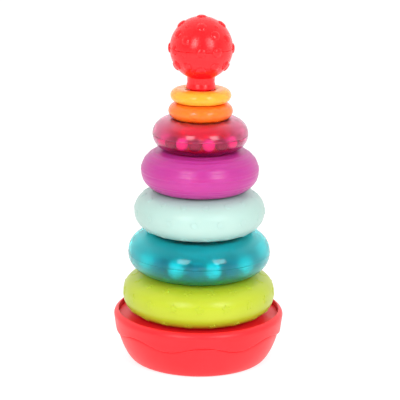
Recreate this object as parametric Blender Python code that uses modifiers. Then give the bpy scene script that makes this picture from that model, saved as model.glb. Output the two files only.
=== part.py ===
"""Stacking ring toy: a bowl-shaped base with a hollow post, seven loose rings and a ball topper.

Metres, +Z up. The origin is the centre of the underside of the base, and the post stands on +Z.
Everything except the screws is turned about the post's axis.
"""
from math import cos, pi, radians, sin

import bmesh
import bpy

# Clearances
GAP = 0.0003                 # what touching pieces keep between them
POST_PLAY = 0.00075          # room between the post and the bore of a ring, all round
SPIGOT_PLAY = 0.0004         # room between the topper's spigot and the post, all round

# Base: bowl, deck and post
RIM_RADIUS = 0.0700          # widest line of the bowl, just under its lip
RIM_HEIGHT = 0.0365          # height of that line
LIP_RADIUS = 0.0048          # round of the lip above it
LIP_WIDTH = 0.0040           # from the widest line in to where the lip drops to the deck
BAND_TAPER = 0.0014          # how much narrower the upper band is at its bottom
BAND_HEIGHT = 0.0260         # bottom of the band
BAND_STEP = 0.0016           # how far the band stands out from the bowl below it
FOOT_INSET = 0.0148          # from the widest line in to the edge of the flat underside
BOWL_FULLNESS = 1.36         # 1 is a straight cone between band and foot, 2 an ellipse
BOWL_WALL = 0.0024
FLOOR_THICKNESS = 0.0026
DECK_HEIGHT = 0.0373         # top of the deck, where the lowest ring sits
DECK_THICKNESS = 0.0024
DECK_LEDGE = 0.0022          # width of the ledge under the edge of the deck
POST_RADIUS = 0.0108
POST_WALL = 0.0018
POST_BELOW_STACK = 0.0010    # how far the post ends below the top of the stack
FLANGE_WIDTH = 0.0057
FLANGE_THICKNESS = 0.0024
COLLAR_WALL = 0.0022         # tube under the deck that steadies the post

# Screws through the floor into the deck
SCREW_COUNT = 3
SCREW_CIRCLE_RADIUS = 0.0360
SCREW_HEAD_RADIUS = 0.0033
SCREW_HEAD_HEIGHT = 0.0020
SCREW_SHANK_RADIUS = 0.0014
SCREW_LENGTH = 0.0160
PILLAR_RADIUS = 0.0060       # pillar on the floor with the recess for the screw head
PILLAR_HEIGHT = 0.0120
PILLAR_CAP = 0.0025          # plastic left above the recess
BOSS_WALL = 0.0028

# Topper
BALL_RADIUS = 0.0253
BALL_CLEARANCE = 0.0072      # bottom of the ball above the ring that the neck stands on
BALL_WALL = 0.0018
NECK_SEAT = 0.00065          # how far the foot of the neck laps over the bore of the top ring
NECK_FLARE_HEIGHT = 0.0026
SPIGOT_LENGTH = 0.0160
SPIGOT_WALL = 0.0016

# Rings, from the bottom up. squareness is the exponent of the section's outer and inner
# halves: 2 is an ellipse, more is boxier. A ring with beads is two clear half shells round a
# sleeve, and any other is one hollow shell with a needle hole, plugged if the ring is large.
RING_INSIDE_LIP = 0.00353    # room between the lip and the lowest ring
LIP_INNER_RADIUS = RIM_RADIUS - LIP_WIDTH
LOWEST_RING_RADIUS = LIP_INNER_RADIUS - RING_INSIDE_LIP
RINGS = [
    dict(name="lime", radius=LOWEST_RING_RADIUS, height=0.0346, squareness=(2.40, 2.4), wall=0.0015, beads=0),
    dict(name="teal", radius=0.05820, height=0.0350, squareness=(2.20, 2.2), wall=0.0016, beads=20),
    dict(name="mint", radius=0.05337, height=0.0337, squareness=(2.20, 2.2), wall=0.0015, beads=0),
    dict(name="purple", radius=0.04798, height=0.0338, squareness=(2.05, 2.1), wall=0.0015, beads=0),
    dict(name="crimson", radius=0.03879, height=0.0260, squareness=(1.98, 2.0), wall=0.0014, beads=18),
    dict(name="orange", radius=0.02608, height=0.0134, squareness=(1.90, 4.0), wall=0.0012, beads=0),
    dict(name="yellow", radius=0.02455, height=0.0112, squareness=(2.00, 4.0), wall=0.0012, beads=0),
]
BEAD_DROP = 0.0030           # how far the beads' centres lie below the widest line of a ring
BEAD_ROLL = {"teal": radians(-13), "crimson": radians(-7.5)}    # how far each set has rolled round
SLEEVE_WALL = 0.0012         # tube that keeps the beads in the outer part of a clear ring
NEEDLE_HOLE_RADIUS = 0.0015

# Facets
TURN_STEPS = 28
SMALL_TURN_STEPS = 24
SCREW_STEPS = 12
OUTER_STEPS = 6              # along the outside of half a ring's section
CAVITY_STEPS = 6             # along the inside of it
MERGE_DISTANCE = 0.00001

LIP_TOP = RIM_HEIGHT + LIP_RADIUS
BAND_RADIUS = RIM_RADIUS - BAND_TAPER
FOOT_RADIUS = RIM_RADIUS - FOOT_INSET
FLANGE_RADIUS = POST_RADIUS + FLANGE_WIDTH
NECK_RADIUS = POST_RADIUS
BORE_RADIUS = POST_RADIUS + POST_PLAY
LEDGE_HEIGHT = DECK_HEIGHT - DECK_THICKNESS - GAP
NECK_FLARE_RADIUS = BORE_RADIUS + NECK_SEAT
FLANGE_TOP = FLOOR_THICKNESS + GAP + FLANGE_THICKNESS


# ---------------------------------------------------------------- scene and materials

for old in list(bpy.data.objects):
    bpy.data.objects.remove(old, do_unlink=True)

parts = bpy.data.collections.new("stacking_ring_toy")
cutters = bpy.data.collections.new("cutters")
for collection in (parts, cutters):
    bpy.context.scene.collection.children.link(collection)


def linear(channel):
    """A display colour channel, 0 to 255, as a linear value."""
    value = channel / 255
    if value <= 0.04045:
        return value / 12.92
    return ((value + 0.055) / 1.055) ** 2.4


def plastic(name, colour, roughness, clear=False):
    material = bpy.data.materials.new(name)
    material.use_nodes = True
    shader = material.node_tree.nodes["Principled BSDF"]
    shader.inputs["Base Color"].default_value = [linear(c) for c in colour] + [1]
    shader.inputs["Roughness"].default_value = roughness
    shader.inputs["Metallic"].default_value = 0
    if clear:
        shader.inputs["Transmission Weight"].default_value = 0.8
    return material


def steel(name):
    material = plastic(name, (150, 150, 152), 0.35)
    material.node_tree.nodes["Principled BSDF"].inputs["Metallic"].default_value = 1
    return material


CORAL = (254, 70, 74)
RING_COLOURS = {
    "lime": (196, 216, 58), "teal": (0, 150, 160), "mint": (205, 232, 224), "purple": (205, 55, 160),
    "crimson": (214, 24, 66), "orange": (255, 134, 36), "yellow": (254, 188, 50),
}
BEAD_COLOURS = {
    "teal": ((0, 200, 220), (0, 92, 120)),
    "crimson": ((255, 70, 170), (96, 14, 52)),
}
SLEEVE_COLOURS = {"teal": (0, 150, 160), "crimson": (222, 36, 70)}


# ---------------------------------------------------------------- shapes

def arc(centre, semi_axes, start, end, steps, squareness=2.0):
    """Points of a superellipse between two angles in degrees, both ends included."""
    points = []
    for i in range(steps + 1):
        angle = radians(start + (end - start) * i / steps)
        c, s = cos(angle), sin(angle)
        r = centre[0] + semi_axes[0] * abs(c) ** (2 / squareness) * (1 if c > 0 else -1)
        z = centre[1] + semi_axes[1] * abs(s) ** (2 / squareness) * (1 if s > 0 else -1)
        points.append((r, z))
    return points


def add_object(name, mesh, material=None, place=(0, 0, 0)):
    """An object in the parts, or among the cutters if it has no material."""
    thing = bpy.data.objects.new(name, mesh)
    thing.location = place
    if material:
        mesh.materials.append(material)
        parts.objects.link(thing)
    else:
        thing.hide_render = True
        thing.display_type = 'WIRE'
        cutters.objects.link(thing)
    return thing


def turned(name, loops, material=None, place=(0, 0, 0), steps=TURN_STEPS, closed=True):
    """A solid of revolution about its own Z axis from profiles of (radius, height) points."""
    points = []
    edges = []
    for loop in loops:
        first = len(points)
        points += [(r, 0, z) for r, z in loop]
        edges += [(i, i + 1) for i in range(first, len(points) - 1)]
        if closed:
            edges.append((len(points) - 1, first))
    mesh = bpy.data.meshes.new(name)
    mesh.from_pydata(points, edges, [])
    thing = add_object(name, mesh, material, place)
    screw = thing.modifiers.new("Turn", 'SCREW')
    screw.steps = steps
    screw.render_steps = steps
    screw.use_merge_vertices = True
    screw.merge_threshold = MERGE_DISTANCE
    screw.use_smooth_shade = True
    return thing


def cut(thing, tool, operation='DIFFERENCE'):
    modifier = thing.modifiers.new(tool.name, 'BOOLEAN')
    modifier.operation = operation
    modifier.object = tool


def rounded_tube(outer, inner, top, bottom):
    """Profile of a tube whose two top edges are taken off by a quarter of its wall."""
    chamfer = (outer - inner) / 4
    return [(outer - chamfer, top), (outer, top - chamfer), (outer, bottom),
            (inner, bottom), (inner, top - chamfer), (inner + chamfer, top)]


# ---------------------------------------------------------------- base

def screw_places():
    for i in range(SCREW_COUNT):
        angle = 2 * pi * i / SCREW_COUNT + pi / 2
        yield i + 1, SCREW_CIRCLE_RADIUS * cos(angle), SCREW_CIRCLE_RADIUS * sin(angle)


def make_bowl(material):
    """The outer shell: a turned bowl with a lip, a band and three pillars on its floor."""
    bowl_top = BAND_RADIUS - BAND_STEP
    ledge_radius = LIP_INNER_RADIUS - DECK_LEDGE
    inner_foot = FOOT_RADIUS - BOWL_WALL
    lip_centre = (RIM_RADIUS - LIP_RADIUS, RIM_HEIGHT)
    profile = [(0, FLOOR_THICKNESS)]
    inner_sweep = (bowl_top - BOWL_WALL - inner_foot, BAND_HEIGHT - FLOOR_THICKNESS)
    profile += arc((inner_foot, BAND_HEIGHT), inner_sweep, -90, 0, 5, BOWL_FULLNESS)
    profile += [(ledge_radius, LEDGE_HEIGHT - DECK_LEDGE), (ledge_radius, LEDGE_HEIGHT),
                (LIP_INNER_RADIUS, LEDGE_HEIGHT), (LIP_INNER_RADIUS, LIP_TOP - LIP_RADIUS / 8)]
    profile += arc(lip_centre, (LIP_RADIUS, LIP_RADIUS), 75, 0, 4)
    profile += [(BAND_RADIUS, BAND_HEIGHT)]
    outer_sweep = (bowl_top - FOOT_RADIUS, BAND_HEIGHT)
    profile += arc((FOOT_RADIUS, BAND_HEIGHT), outer_sweep, 0, -90, 6, BOWL_FULLNESS)
    profile += [(0, 0)]
    bowl = turned("base_bowl", [profile], material, closed=False)
    pillar_bottom = FLOOR_THICKNESS / 2
    recess_top = PILLAR_HEIGHT - PILLAR_CAP
    recess_radius = SCREW_HEAD_RADIUS + 2 * GAP
    hole_radius = SCREW_SHANK_RADIUS + GAP
    below_floor = -FLOOR_THICKNESS
    above_pillar = PILLAR_HEIGHT + FLOOR_THICKNESS
    for number, x, y in screw_places():
        pillar = turned(f"pillar_{number}", [[(0, PILLAR_HEIGHT), (PILLAR_RADIUS, PILLAR_HEIGHT),
                        (PILLAR_RADIUS, pillar_bottom), (0, pillar_bottom)]],
                        place=(x, y, 0), steps=SCREW_STEPS, closed=False)
        recess = turned(f"recess_{number}", [[(0, above_pillar), (hole_radius, above_pillar),
                        (hole_radius, recess_top), (recess_radius, recess_top),
                        (recess_radius, below_floor), (0, below_floor)]],
                        place=(x, y, 0), steps=SCREW_STEPS, closed=False)
        cut(bowl, pillar, 'UNION')
        cut(bowl, recess)
    return bowl


def make_deck(material):
    """The inset top of the base, with the post's collar and three screw bosses under it."""
    edge = LIP_INNER_RADIUS - GAP
    underside = DECK_HEIGHT - DECK_THICKNESS
    collar_inner = POST_RADIUS + GAP
    collar_outer = collar_inner + COLLAR_WALL
    collar_bottom = FLANGE_TOP + GAP
    deck = turned("base_deck", [[(edge, DECK_HEIGHT), (edge, underside), (collar_outer, underside),
                  (collar_outer, collar_bottom), (collar_inner, collar_bottom), (collar_inner, DECK_HEIGHT)]],
                  material)
    boss_bottom = PILLAR_HEIGHT + GAP
    boss_top = DECK_HEIGHT - DECK_THICKNESS / 2
    hole_radius = SCREW_SHANK_RADIUS + GAP
    boss_radius = hole_radius + BOSS_WALL
    screw_top = PILLAR_HEIGHT - PILLAR_CAP - GAP + SCREW_LENGTH
    hole_top = min(screw_top + 2 * GAP, underside)
    hole_bottom = boss_bottom - BOSS_WALL
    for number, x, y in screw_places():
        boss = turned(f"boss_{number}", [[(0, boss_top), (boss_radius, boss_top),
                      (boss_radius, boss_bottom), (0, boss_bottom)]],
                      place=(x, y, 0), steps=SCREW_STEPS, closed=False)
        hole = turned(f"pilot_{number}", [[(0, hole_top), (hole_radius, hole_top),
                      (hole_radius, hole_bottom), (0, hole_bottom)]],
                      place=(x, y, 0), steps=SCREW_STEPS, closed=False)
        cut(deck, boss, 'UNION')
        cut(deck, hole)
    return deck


def make_post(material, top):
    """The hollow post, held by a flange between the deck's collar and the floor."""
    bottom = FLOOR_THICKNESS + GAP
    inner = POST_RADIUS - POST_WALL
    profile = rounded_tube(POST_RADIUS, inner, top, bottom)
    profile[2:3] = [(POST_RADIUS, FLANGE_TOP), (FLANGE_RADIUS, FLANGE_TOP), (FLANGE_RADIUS, bottom)]
    return turned("centre_post", [profile], material, steps=SMALL_TURN_STEPS)


def make_screws(material):
    """Pan-head screws that point up, with their heads in the recesses of the floor."""
    seat = PILLAR_HEIGHT - PILLAR_CAP - GAP
    tip = seat + SCREW_LENGTH
    profile = [(0, tip), (SCREW_SHANK_RADIUS, tip - SCREW_SHANK_RADIUS), (SCREW_SHANK_RADIUS, seat),
               (SCREW_HEAD_RADIUS, seat), (SCREW_HEAD_RADIUS, seat - SCREW_HEAD_HEIGHT / 2),
               (SCREW_HEAD_RADIUS * 0.6, seat - SCREW_HEAD_HEIGHT), (0, seat - SCREW_HEAD_HEIGHT)]
    for number, x, y in screw_places():
        turned(f"base_screw_{number}", [profile], material, place=(x, y, 0), steps=SCREW_STEPS, closed=False)


# ---------------------------------------------------------------- rings

def ring_outline(ring, inset, start, end, steps):
    """Part of a ring's section, inset from its surface, between two angles in degrees.

    Angle 0 is the widest line, 90 the top and 180 the bore. Height 0 is the ring's middle.
    """
    crest = (ring["radius"] + BORE_RADIUS) / 2
    semi_axes = (crest - BORE_RADIUS - inset, ring["height"] / 2 - inset)
    points = []
    for i in range(steps + 1):
        angle = start + (end - start) * i / steps
        side = 0 if cos(radians(angle)) > 0 else 1
        points += arc((crest, 0), semi_axes, angle, angle, 1, ring["squareness"][side])[:1]
    return points


def surface_height(ring, r):
    """Height of a ring's top above its middle at radius r."""
    crest = (ring["radius"] + BORE_RADIUS) / 2
    share = abs(r - crest) / (crest - BORE_RADIUS)
    if share >= 1:
        return 0
    squareness = ring["squareness"][0 if r > crest else 1]
    return ring["height"] / 2 * (1 - share ** squareness) ** (1 / squareness)


def stacking_height(lower, upper):
    """Distance between the middles of two rings when one rests on the other."""
    narrow = min(lower["radius"], upper["radius"])
    samples = 200
    radii = [BORE_RADIUS + (narrow - BORE_RADIUS) * i / samples for i in range(samples + 1)]
    return max(surface_height(lower, r) + surface_height(upper, r) for r in radii) + GAP


def place_rings():
    """Middle height of each ring, and the height of the top of the stack."""
    middle = DECK_HEIGHT + GAP + RINGS[0]["height"] / 2
    places = {RINGS[0]["name"]: middle}
    for lower, upper in zip(RINGS[:-1], RINGS[1:]):
        middle += stacking_height(lower, upper)
        places[upper["name"]] = middle
    return places, middle + RINGS[-1]["height"] / 2


def cross_rod(name, radius, start, end, height, material=None):
    """A short rod along Y, from start to end, for a needle hole or the plug in it."""
    mesh = bpy.data.meshes.new(name)
    body = bmesh.new()
    bmesh.ops.create_cone(body, cap_ends=True, segments=8, radius1=radius, radius2=radius, depth=end - start)
    body.to_mesh(mesh)
    body.free()
    rod = add_object(name, mesh, material, (0, (start + end) / 2, height))
    rod.rotation_euler = (pi / 2, 0, 0)
    return rod


def make_blown_ring(ring, middle, material, plug_material):
    """A hollow shell with a needle hole in its bore wall, and a plug in it if the ring is large.

    The cavity's outline runs the other way round from the outside, so its faces point inwards.
    """
    name = ring["name"]
    wall = ring["wall"]
    outer = ring_outline(ring, 0, 0, -360, 2 * OUTER_STEPS)[:-1]
    cavity = ring_outline(ring, wall, 0, 360, 2 * CAVITY_STEPS)[:-1]
    small = ring["radius"] < RIM_RADIUS / 2
    steps = SMALL_TURN_STEPS if small else TURN_STEPS
    shell = turned(f"{name}_ring_shell", [outer, cavity], material, (0, 0, middle), steps)
    hole = cross_rod(f"{name}_needle_hole", NEEDLE_HOLE_RADIUS, BORE_RADIUS - wall,
                     BORE_RADIUS + 2 * wall, middle)
    cut(shell, hole)
    if not small:
        cross_rod(f"{name}_ring_plug", NEEDLE_HOLE_RADIUS - GAP, BORE_RADIUS + GAP, BORE_RADIUS + wall,
                  middle, plug_material)


def distance_to_line(point, start, end):
    """Distance from a point to the stretch between two others, all as (radius, height)."""
    along = (end[0] - start[0], end[1] - start[1])
    offset = (point[0] - start[0], point[1] - start[1])
    share = (offset[0] * along[0] + offset[1] * along[1]) / (along[0] ** 2 + along[1] ** 2)
    share = min(max(share, 0), 1)
    return ((offset[0] - share * along[0]) ** 2 + (offset[1] - share * along[1]) ** 2) ** 0.5


def bead_track(ring):
    """Track radius and bead radius for beads that just fill a clear ring's outer channel."""
    flats = cos(pi / TURN_STEPS)
    cavity = [(r * flats, z) for r, z in ring_outline(ring, ring["wall"], 0, -180, CAVITY_STEPS)]
    track = (ring["radius"] + BORE_RADIUS) / 2
    best = (track, 0)
    step = (ring["radius"] - track) / 400
    while track < ring["radius"] - ring["wall"]:
        centre = (track, -BEAD_DROP)
        wall_distance = min(distance_to_line(centre, a, b) for a, b in zip(cavity[:-1], cavity[1:]))
        bead = min(wall_distance - GAP, track * sin(pi / ring["beads"]) - GAP / 2)
        if bead >= best[1]:
            best = (track, bead)
        track += step
    return best


def cavity_height(ring, r):
    """Height of the faceted cavity's roof above a ring's middle at radius r."""
    roof = ring_outline(ring, ring["wall"], 0, 180, CAVITY_STEPS)
    for (far, low), (near, high) in zip(roof[:-1], roof[1:]):
        if near <= r <= far:
            return low + (high - low) * (far - r) / (far - near)
    return 0


def make_clear_ring(ring, middle, material, sleeve_material, bead_materials):
    """Two half shells that meet at the widest line, and a sleeve and beads between them."""
    name = ring["name"]
    seam = GAP / 2
    for half, direction in (("lower", -1), ("upper", 1)):
        start, end = (0, -180) if direction < 0 else (180, 0)
        outer = ring_outline(ring, 0, start, end, OUTER_STEPS)
        cavity = ring_outline(ring, ring["wall"], end, start, CAVITY_STEPS)
        profile = [(r, z + direction * seam) for r, z in outer + cavity]
        turned(f"{name}_ring_{half}_shell", [profile], material, (0, 0, middle))
    track, bead = bead_track(ring)
    sleeve = track - bead - GAP
    inner = sleeve - SLEEVE_WALL
    top = min(cavity_height(ring, sleeve), cavity_height(ring, inner)) - GAP
    turned(f"{name}_ring_sleeve", [[(sleeve, top), (sleeve, -top), (inner, -top), (inner, top)]],
           sleeve_material, (0, 0, middle))
    centre = bpy.data.objects.new(f"{name}_bead_centre", None)
    centre.location = (0, 0, middle - BEAD_DROP)
    parts.objects.link(centre)
    meshes = []
    for number, material in enumerate(bead_materials):
        mesh = bpy.data.meshes.new(f"{name}_bead_{number}")
        body = bmesh.new()
        bmesh.ops.create_uvsphere(body, u_segments=8, v_segments=5, radius=bead)
        body.to_mesh(mesh)
        body.free()
        mesh.shade_smooth()
        mesh.materials.append(material)
        meshes.append(mesh)
    for i in range(ring["beads"]):
        angle = BEAD_ROLL[name] + 2 * pi * (i + 0.5) / ring["beads"]
        one = bpy.data.objects.new(f"{name}_bead_{i + 1:02d}", meshes[i % len(meshes)])
        one.parent = centre
        one.location = (track * cos(angle), track * sin(angle), 0)
        parts.objects.link(one)


# ---------------------------------------------------------------- topper

def make_topper(material, seat):
    """The ball, in two half shells. The lower one carries the neck and the spigot."""
    centre = seat + BALL_CLEARANCE + BALL_RADIUS
    foot = seat + GAP - centre
    seam = GAP / 2
    inner_radius = BALL_RADIUS - BALL_WALL
    spigot = POST_RADIUS - POST_WALL - SPIGOT_PLAY
    spigot_inner = spigot - SPIGOT_WALL
    neck_meets_ball = (BALL_RADIUS ** 2 - NECK_RADIUS ** 2) ** 0.5
    hole_meets_ball = (inner_radius ** 2 - spigot_inner ** 2) ** 0.5
    tip = foot - SPIGOT_LENGTH
    lower = []
    for i in range(6):
        height = -neck_meets_ball * sin(pi / 2 * i / 5)
        lower.append(((BALL_RADIUS ** 2 - height ** 2) ** 0.5, height - seam))
    lower += [(NECK_RADIUS, foot + NECK_FLARE_HEIGHT), (NECK_FLARE_RADIUS, foot + NECK_FLARE_HEIGHT / 4),
              (NECK_FLARE_RADIUS, foot), (spigot, foot), (spigot, tip + SPIGOT_WALL / 2),
              (spigot - SPIGOT_WALL / 2, tip), (spigot_inner, tip)]
    for i in range(5):
        height = -hole_meets_ball * cos(pi / 2 * i / 4)
        lower.append(((inner_radius ** 2 - height ** 2) ** 0.5, height - seam))
    turned("topper_lower_half", [lower], material, (0, 0, centre), SMALL_TURN_STEPS)
    upper = arc((0, seam), (BALL_RADIUS, BALL_RADIUS), 90, 0, 6)
    upper += arc((0, seam), (inner_radius, inner_radius), 0, 90, 5)
    upper[0] = (0, upper[0][1])
    upper[-1] = (0, upper[-1][1])
    turned("topper_upper_half", [upper], material, (0, 0, centre), SMALL_TURN_STEPS, closed=False)


# ---------------------------------------------------------------- assembly

places, stack_top = place_rings()
make_bowl(plastic("bowl_coral", CORAL, 0.45))
make_deck(plastic("deck_coral", CORAL, 0.45))
make_post(plastic("post_coral", CORAL, 0.45), stack_top - POST_BELOW_STACK)
make_screws(steel("screw_steel"))
for one_ring in RINGS:
    ring_name = one_ring["name"]
    colour = RING_COLOURS[ring_name]
    if one_ring["beads"]:
        clear = plastic(f"{ring_name}_clear", colour, 0.08, True)
        bead_finishes = [plastic(f"{ring_name}_beads", shade, 0.2) for shade in BEAD_COLOURS[ring_name]]
        sleeve_finish = plastic(f"{ring_name}_sleeve", SLEEVE_COLOURS[ring_name], 0.35)
        make_clear_ring(one_ring, places[ring_name], clear, sleeve_finish, bead_finishes)
    else:
        make_blown_ring(one_ring, places[ring_name], plastic(f"{ring_name}_satin", colour, 0.4),
                        plastic(f"{ring_name}_plug", colour, 0.5))
make_topper(plastic("topper_coral", CORAL, 0.4), stack_top)
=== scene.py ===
from math import cos, pi, radians, sin

import bmesh
import bpy
from mathutils import Matrix, Vector


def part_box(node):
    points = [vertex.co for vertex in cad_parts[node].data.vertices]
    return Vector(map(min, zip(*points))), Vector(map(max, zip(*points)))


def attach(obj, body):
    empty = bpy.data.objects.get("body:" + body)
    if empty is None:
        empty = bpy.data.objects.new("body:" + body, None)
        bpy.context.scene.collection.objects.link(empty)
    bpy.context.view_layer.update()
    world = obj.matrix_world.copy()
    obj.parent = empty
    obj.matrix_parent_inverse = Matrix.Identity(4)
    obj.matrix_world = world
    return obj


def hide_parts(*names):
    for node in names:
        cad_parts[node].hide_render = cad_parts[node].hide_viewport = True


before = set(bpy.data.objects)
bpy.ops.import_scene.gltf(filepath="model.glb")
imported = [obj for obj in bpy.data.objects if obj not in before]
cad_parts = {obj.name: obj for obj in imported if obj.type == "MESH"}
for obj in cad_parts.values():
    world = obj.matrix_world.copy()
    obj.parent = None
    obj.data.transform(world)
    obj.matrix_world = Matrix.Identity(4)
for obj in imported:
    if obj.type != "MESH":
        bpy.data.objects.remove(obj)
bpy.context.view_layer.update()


# ------------------------------------------------------------------ bowl
# The base is a thin-walled bowl, injection moulded in coral polypropylene with a satin skin.
# Its rim is a proud band with a wavy lower edge, and three pillars on its floor take the
# screws that come up from below and pull the deck down on to the ledge inside the lip.

def turned_piece(name, rows, around, closed=False):
    """A piece turned about the post. A row is (radius, height), or a function of the azimuth
    that gives them. Azimuth 0 is the front, and it grows towards +X. Rows climb the outside."""
    vertices, faces, loops = [], [], []
    for row in rows:
        first = len(vertices)
        places = [row(2 * pi * i / around) if callable(row) else row for i in range(around)]
        if places[0][0] == 0:
            vertices.append((0, 0, places[0][1]))
            loops.append([first] * around)
        else:
            for i, (radius, height) in enumerate(places):
                turn = 2 * pi * i / around
                vertices.append((radius * sin(turn), -radius * cos(turn), height))
            loops.append([first + i for i in range(around)])
    pairs = list(zip(loops[:-1], loops[1:])) + ([(loops[-1], loops[0])] if closed else [])
    for low, high in pairs:
        for i in range(around):
            j = (i + 1) % around
            face = list(dict.fromkeys((low[i], low[j], high[j], high[i])))
            if len(face) > 2:
                faces.append(face)
    mesh = bpy.data.meshes.new(name)
    mesh.from_pydata(vertices, [], faces)
    mesh.update()
    piece = bpy.data.objects.new(name, mesh)
    bpy.context.scene.collection.objects.link(piece)
    return piece


def soft_corners(corners, steps=4):
    """A profile whose corners are rounded. A corner is (radius, height, rounding)."""
    points = []
    for i, (radius, height, rounding) in enumerate(corners):
        here = Vector((radius, height))
        if rounding == 0:
            points.append((radius, height))
            continue
        before = Vector(corners[i - 1][:2])
        after = Vector(corners[(i + 1) % len(corners)][:2])
        start = here + (before - here).normalized() * rounding
        end = here + (after - here).normalized() * rounding
        for k in range(steps + 1):
            t = k / steps
            point = start * (1 - t) ** 2 + here * 2 * t * (1 - t) + end * t * t
            points.append((point.x, point.y))
    return points


def settle(piece):
    """Makes a piece's modifiers its plain mesh."""
    bpy.context.view_layer.update()
    graph = bpy.context.evaluated_depsgraph_get()
    mesh = bpy.data.meshes.new_from_object(piece.evaluated_get(graph), depsgraph=graph)
    old = piece.data
    piece.modifiers.clear()
    piece.data = mesh
    bpy.data.meshes.remove(old)
    mesh.name = piece.name


def drop(*pieces):
    """Takes away helpers that are done with."""
    for piece in pieces:
        mesh = piece.data
        bpy.data.objects.remove(piece)
        bpy.data.meshes.remove(mesh)


def carve(piece, tools):
    """Joins or cuts a piece with (tool, 'UNION' or 'DIFFERENCE') pairs, then drops the tools."""
    for tool, operation in tools:
        modifier = piece.modifiers.new(tool.name, 'BOOLEAN')
        modifier.operation = operation
        modifier.solver = 'MANIFOLD'
        modifier.object = tool
    settle(piece)
    drop(*[tool for tool, operation in tools])


def stub(name, x, y, rows, around=32):
    """A small turned piece that stands away from the post."""
    piece = turned_piece(name, rows, around)
    piece.data.transform(Matrix.Translation((x, y, 0)))
    return piece


def put_on(piece, material, body, slot, *nodes):
    """Gives a piece its finish, smooths its faces, and lets it ride on its body."""
    mesh = piece.data
    if material:
        mesh.materials.clear()
        mesh.materials.append(material)
    mesh.polygons.foreach_set("use_smooth", [True] * len(mesh.polygons))
    mesh.set_sharp_from_angle(angle=radians(42))
    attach(piece, body)
    if nodes:
        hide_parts(*nodes)


def join_nodes(material, start, end):
    material.node_tree.links.new(start, end)


def satin_plastic(name, colour, deep_colour, roughness, glow=0.15, glow_depth=0.0025, grain=1.0):
    """Moulded plastic with a satin skin: a faint cloudiness in its colour, a fine spark-eroded
    grain, the slow waviness of a cooled wall, and scuffs that change its gloss."""
    material = bpy.data.materials.new(name)
    material.use_nodes = True
    nodes = material.node_tree.nodes
    shader = nodes["Principled BSDF"]
    shader.inputs["IOR"].default_value = 1.43
    shader.inputs["Subsurface Weight"].default_value = glow
    shader.inputs["Subsurface Radius"].default_value = (1.0, 0.6, 0.5)
    shader.inputs["Subsurface Scale"].default_value = glow_depth
    place = nodes.new('ShaderNodeTexCoord')

    cloud = nodes.new('ShaderNodeTexNoise')
    cloud.inputs["Scale"].default_value = 38
    cloud.inputs["Detail"].default_value = 3
    join_nodes(material, place.outputs["Object"], cloud.inputs["Vector"])
    tint = nodes.new('ShaderNodeValToRGB')
    tint.color_ramp.elements[0].position = 0.30
    tint.color_ramp.elements[0].color = deep_colour
    tint.color_ramp.elements[1].position = 0.62
    tint.color_ramp.elements[1].color = colour
    join_nodes(material, cloud.outputs["Fac"], tint.inputs["Fac"])
    join_nodes(material, tint.outputs["Color"], shader.inputs["Base Color"])

    scuff = nodes.new('ShaderNodeTexNoise')
    scuff.inputs["Scale"].default_value = 95
    scuff.inputs["Detail"].default_value = 6
    scuff.inputs["Roughness"].default_value = 0.62
    join_nodes(material, place.outputs["Object"], scuff.inputs["Vector"])
    gloss = nodes.new('ShaderNodeMapRange')
    gloss.inputs["From Min"].default_value = 0.3
    gloss.inputs["From Max"].default_value = 0.7
    gloss.inputs["To Min"].default_value = roughness - 0.035
    gloss.inputs["To Max"].default_value = roughness + 0.05
    join_nodes(material, scuff.outputs["Fac"], gloss.inputs["Value"])
    join_nodes(material, gloss.outputs["Result"], shader.inputs["Roughness"])

    fine = nodes.new('ShaderNodeTexNoise')
    fine.inputs["Scale"].default_value = 2400
    fine.inputs["Detail"].default_value = 2
    join_nodes(material, place.outputs["Object"], fine.inputs["Vector"])
    wave = nodes.new('ShaderNodeTexNoise')
    wave.inputs["Scale"].default_value = 70
    wave.inputs["Detail"].default_value = 1
    join_nodes(material, place.outputs["Object"], wave.inputs["Vector"])
    wavy = nodes.new('ShaderNodeBump')
    wavy.inputs["Strength"].default_value = 0.20
    wavy.inputs["Distance"].default_value = 0.0006
    join_nodes(material, wave.outputs["Fac"], wavy.inputs["Height"])
    grainy = nodes.new('ShaderNodeBump')
    grainy.inputs["Strength"].default_value = 0.10 * grain
    grainy.inputs["Distance"].default_value = 0.00015
    join_nodes(material, fine.outputs["Fac"], grainy.inputs["Height"])
    join_nodes(material, wavy.outputs["Normal"], grainy.inputs["Normal"])
    join_nodes(material, grainy.outputs["Normal"], shader.inputs["Normal"])
    return material


coral_colour = (0.87, 0.013, 0.021, 1)
coral = satin_plastic("coral_satin_plastic", coral_colour, (0.84, 0.010, 0.017, 1), 0.36)

rim_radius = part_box("base_bowl")[1].x
rim_height = 0.0365
lip_rounding = 0.0048
lip_inside = rim_radius - 0.0040
band_taper = 0.0014
band_height = 0.0260
band_step = 0.0016
foot_radius = rim_radius - 0.0148
deck_low, deck_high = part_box("base_deck")
deck_top = deck_high.z
ledge_height = deck_top - 0.0027
bowl_wall = 0.0024
floor_thickness = 0.0026
fullness = 1.36
wave_count = 7
wave_height = 0.0026
wave_turn = radians(4)
edge_rounding = 0.0008
groove_depth = 0.0009


def band_edge(azimuth):
    return band_height + 0.0002 + wave_height * cos(wave_count * (azimuth - wave_turn))


def band_radius(height):
    return rim_radius - band_taper * (rim_height - height) / (rim_height - band_height)


def bowl_radius(height, inset=0.0):
    top = band_radius(band_height) - band_step
    share = min(max((band_height - height) / band_height, 0), 1)
    swell = (1 - share ** fullness) ** (1 / fullness)
    return foot_radius + (top - foot_radius) * swell - inset


def bowl_side(share):
    def row(azimuth):
        low, high = 0.0014, band_edge(azimuth) - 0.0004
        height = low + (high - low) * share
        return bowl_radius(height) - groove_depth * max(1 - (1 - share) / 0.06, 0), height
    return row


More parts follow.
